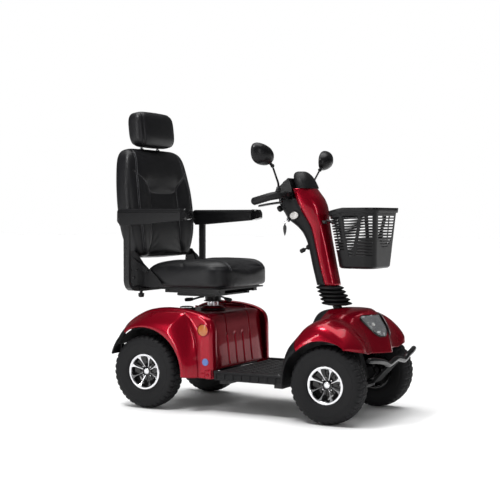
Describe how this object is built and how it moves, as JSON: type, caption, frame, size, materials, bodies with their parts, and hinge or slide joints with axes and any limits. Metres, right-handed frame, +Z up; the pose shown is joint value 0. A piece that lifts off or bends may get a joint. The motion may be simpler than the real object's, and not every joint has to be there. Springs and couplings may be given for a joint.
{
  "type": "mobility scooter",
  "caption": "Electric mobility scooter: glossy body covers, tilting tiller with looped grips and mirrors, front basket, swivelling padded seat with flip-up armrests.",
  "frame": {"origin": "centre of the footprint, on the ground under the tyres", "axes": "+X forward (direction of travel), +Y to the rider's left, +Z up"},
  "size_m": [1.318, 0.74, 1.3633],
  "materials": {
    "tyre": "matt",
    "wheel_alloy": "machined face, black pockets",
    "rubber": "matt",
    "red_gloss": "gloss metallic red",
    "black_steel": "satin black powder coat",
    "bright_steel": "bright",
    "lamp_glass": "clear",
    "seat_leather": "black, fine grain",
    "black_plastic": "satin"
  },
  "bodies": {
    "chassis": {"main_frame": "black_steel", "transaxle": "black_steel", "battery_pack": "black_plastic", "footboard": "black_plastic", "floor_mat": "rubber", "battery_cover": "red_gloss", "rear_wing_right": "red_gloss", "rear_wing_left": "red_gloss", "rear_mudflap_right": "black_plastic", "rear_mudflap_left": "black_plastic", "post_collar": "black_plastic", "front_cowl": "red_gloss", "front_inner_cover": "black_plastic", "headlight_right": "lamp_glass", "headlight_left": "lamp_glass", "front_bumper": "black_steel"},
    "knuckle_right": {"knuckle_right": "black_steel"},
    "knuckle_left": {"knuckle_left": "black_steel"},
    "tie_rod": {"tie_rod": "bright_steel"},
    "steering_column": {"steering_column": "black_steel", "bellows": "rubber"},
    "tiller": {"tiller_tube": "black_steel", "tiller_front_cover": "red_gloss", "tiller_rear_cover": "black_plastic", "tiller_cap": "black_plastic", "console": "black_plastic", "handlebar": "black_plastic"},
    "throttle_right": {"throttle_lever_right": "black_plastic"},
    "throttle_left": {"throttle_lever_left": "black_plastic"},
    "speed_dial": {"speed_dial": "black_plastic"},
    "horn_button": {"horn_button": "black_plastic"},
    "ignition_key": {"ignition_key": "bright_steel"},
    "key_fob": {"key_fob": "bright_steel"},
    "tilt_lever": {"tilt_lever": "black_plastic"},
    "basket": {"basket": "black_plastic"},
    "seat_post": {"seat_post": "bright_steel"},
    "seat_base": {"seat_base": "black_steel"},
    "seat_pan": {"seat_pan": "black_steel", "seat_cushion": "seat_leather"},
    "backrest": {"backrest": "seat_leather"},
    "headrest": {"headrest": "seat_leather"},
    "swivel_lever": {"swivel_lever": "black_steel"},
    "slide_lever": {"slide_lever": "black_steel"},
    "recline_lever": {"recline_lever": "black_plastic"},
    "wheel_front_right": {"tyre_front_right": "tyre", "rim_front_right": "wheel_alloy"},
    "wheel_rear_right": {"tyre_rear_right": "tyre", "rim_rear_right": "wheel_alloy"},
    "mirror_stem_right": {"mirror_stem_right": "black_steel"},
    "mirror_head_right": {"mirror_head_right": "black_plastic"},
    "armrest_frame_right": {"armrest_frame_right": "black_steel"},
    "armrest_right": {"armrest_right": "black_plastic"},
    "wheel_front_left": {"tyre_front_left": "tyre", "rim_front_left": "wheel_alloy"},
    "wheel_rear_left": {"tyre_rear_left": "tyre", "rim_rear_left": "wheel_alloy"},
    "mirror_stem_left": {"mirror_stem_left": "black_steel"},
    "mirror_head_left": {"mirror_head_left": "black_plastic"},
    "armrest_frame_left": {"armrest_frame_left": "black_steel"},
    "armrest_left": {"armrest_left": "black_plastic"}
  },
  "joints": [
    {"name": "steering", "type": "hinge", "parent": "chassis", "child": "steering_column", "pos_m": [0.372, 0, 0.464], "axis": [-0.2924, 0, 0.9563], "range_deg": [-40, 40]},
    {"name": "knuckle_right_turn", "type": "hinge", "parent": "chassis", "child": "knuckle_right", "pos_m": [0.451, -0.212, 0.165], "axis": [0, 0, 1], "range_deg": [-30, 30]},
    {"name": "wheel_front_right_spin", "type": "hinge", "parent": "knuckle_right", "child": "wheel_front_right", "pos_m": [0.451, -0.262, 0.165], "axis": [0, 1, 0], "continuous": true},
    {"name": "wheel_rear_right_spin", "type": "hinge", "parent": "chassis", "child": "wheel_rear_right", "pos_m": [-0.441, -0.27, 0.165], "axis": [0, 1, 0], "continuous": true},
    {"name": "knuckle_left_turn", "type": "hinge", "parent": "chassis", "child": "knuckle_left", "pos_m": [0.451, 0.212, 0.165], "axis": [0, 0, 1], "range_deg": [-30, 30]},
    {"name": "wheel_front_left_spin", "type": "hinge", "parent": "knuckle_left", "child": "wheel_front_left", "pos_m": [0.451, 0.262, 0.165], "axis": [0, 1, 0], "continuous": true},
    {"name": "wheel_rear_left_spin", "type": "hinge", "parent": "chassis", "child": "wheel_rear_left", "pos_m": [-0.441, 0.27, 0.165], "axis": [0, 1, 0], "continuous": true},
    {"name": "tie_rod_shift", "type": "slide", "parent": "chassis", "child": "tie_rod", "axis": [0, 1, 0], "range_m": [-0.038, 0.038]},
    {"name": "tiller_tilt", "type": "hinge", "parent": "steering_column", "child": "tiller", "pos_m": [0.361, 0, 0.5], "axis": [0, -1, 0], "range_deg": [-12, 12], "deforming": ["bellows"]},
    {"name": "tilt_lever_pull", "type": "hinge", "parent": "tiller", "child": "tilt_lever", "pos_m": [0.2445, -0.026, 0.728], "axis": [0, -1, 0], "range_deg": [0, 15], "stiffness_Nm_per_rad": 0.3},
    {"name": "throttle_right_pull", "type": "hinge", "parent": "tiller", "child": "throttle_right", "pos_m": [0.149, -0.112, 0.929], "axis": [-0.2924, 0, 0.9563], "range_deg": [-12, 12], "stiffness_Nm_per_rad": 0.5},
    {"name": "throttle_left_pull", "type": "hinge", "parent": "tiller", "child": "throttle_left", "pos_m": [0.149, 0.112, 0.929], "axis": [-0.2924, 0, 0.9563], "range_deg": [-12, 12], "stiffness_Nm_per_rad": 0.5},
    {"name": "speed_dial_turn", "type": "hinge", "parent": "tiller", "child": "speed_dial", "pos_m": [0.1365, -0.034, 1.0085], "axis": [-0.6497, 0, 0.7602], "range_deg": [0, 270]},
    {"name": "horn_button_press", "type": "slide", "parent": "tiller", "child": "horn_button", "axis": [0.6497, 0, -0.7602], "range_m": [0, 0.002], "stiffness_N_per_m": 400},
    {"name": "ignition_key_turn", "type": "hinge", "parent": "tiller", "child": "ignition_key", "pos_m": [0.1452, -0.0297, 0.849], "axis": [-0.9404, 0, -0.3401], "range_deg": [0, 60]},
    {"name": "key_fob_swing", "type": "hinge", "parent": "ignition_key", "child": "key_fob", "pos_m": [0.12545, -0.0297, 0.84186], "axis": [0, 1, 0], "range_deg": [-45, 45]},
    {"name": "mirror_stem_right_turn", "type": "hinge", "parent": "tiller", "child": "mirror_stem_right", "pos_m": [0.159, -0.154, 0.9715], "axis": [0, 0, 1], "range_deg": [-30, 30]},
    {"name": "mirror_head_right_tilt", "type": "hinge", "parent": "mirror_stem_right", "child": "mirror_head_right", "pos_m": [0.173, -0.236, 1.0785], "axis": [0, 1, 0], "range_deg": [-15, 15]},
    {"name": "mirror_stem_left_turn", "type": "hinge", "parent": "tiller", "child": "mirror_stem_left", "pos_m": [0.159, 0.154, 0.9715], "axis": [0, 0, 1], "range_deg": [-30, 30]},
    {"name": "mirror_head_left_tilt", "type": "hinge", "parent": "mirror_stem_left", "child": "mirror_head_left", "pos_m": [0.173, 0.236, 1.0785], "axis": [0, 1, 0], "range_deg": [-15, 15]},
    {"name": "basket_lift", "type": "slide", "parent": "tiller", "child": "basket", "axis": [-0.2924, 0, 0.9563], "range_m": [0, 0.1]},
    {"name": "seat_height", "type": "slide", "parent": "chassis", "child": "seat_post", "axis": [0, 0, 1], "range_m": [0, 0.06]},
    {"name": "seat_swivel", "type": "hinge", "parent": "seat_post", "child": "seat_base", "pos_m": [-0.263, 0, 0.5], "axis": [0, 0, 1], "range_deg": [-90, 90]},
    {"name": "seat_slide", "type": "slide", "parent": "seat_base", "child": "seat_pan", "axis": [1, 0, 0], "range_m": [-0.05, 0.05]},
    {"name": "backrest_recline", "type": "hinge", "parent": "seat_pan", "child": "backrest", "pos_m": [-0.541, 0, 0.655], "axis": [0, -1, 0], "range_deg": [-45, 15]},
    {"name": "headrest_lift", "type": "slide", "parent": "backrest", "child": "headrest", "axis": [-0.108, 0, 0.9942], "range_m": [0, 0.06]},
    {"name": "armrest_frame_right_width", "type": "slide", "parent": "seat_pan", "child": "armrest_frame_right", "axis": [0, -1, 0], "range_m": [0, 0.03]},
    {"name": "armrest_right_flip", "type": "hinge", "parent": "armrest_frame_right", "child": "armrest_right", "pos_m": [-0.549, -0.322, 0.846], "axis": [0, -1, 0], "range_deg": [0, 90]},
    {"name": "armrest_frame_left_width", "type": "slide", "parent": "seat_pan", "child": "armrest_frame_left", "axis": [0, 1, 0], "range_m": [0, 0.03]},
    {"name": "armrest_left_flip", "type": "hinge", "parent": "armrest_frame_left", "child": "armrest_left", "pos_m": [-0.549, 0.322, 0.846], "axis": [0, -1, 0], "range_deg": [0, 90]},
    {"name": "swivel_lever_pull", "type": "hinge", "parent": "seat_base", "child": "swivel_lever", "pos_m": [-0.283, -0.05, 0.493], "axis": [0.7071, -0.7071, 0], "range_deg": [0, 15], "stiffness_Nm_per_rad": 0.5},
    {"name": "slide_lever_pull", "type": "hinge", "parent": "seat_base", "child": "slide_lever", "pos_m": [-0.179, -0.07, 0.4978], "axis": [0.484, 0.8751, 0], "range_deg": [0, 12], "stiffness_Nm_per_rad": 0.5},
    {"name": "recline_lever_pull", "type": "hinge", "parent": "seat_pan", "child": "recline_lever", "pos_m": [-0.541, -0.253, 0.66], "axis": [0, -1, 0], "range_deg": [0, 25], "stiffness_Nm_per_rad": 1}
  ],
  "couplings": [
    {"joint": "knuckle_right_turn", "follows": "steering", "ratio": 0.75},
    {"joint": "knuckle_left_turn", "follows": "steering", "ratio": 0.75},
    {"joint": "tie_rod_shift", "follows": "steering", "m_per_rad": -0.0525},
    {"joint": "throttle_left_pull", "follows": "throttle_right_pull", "ratio": 1}
  ]
}
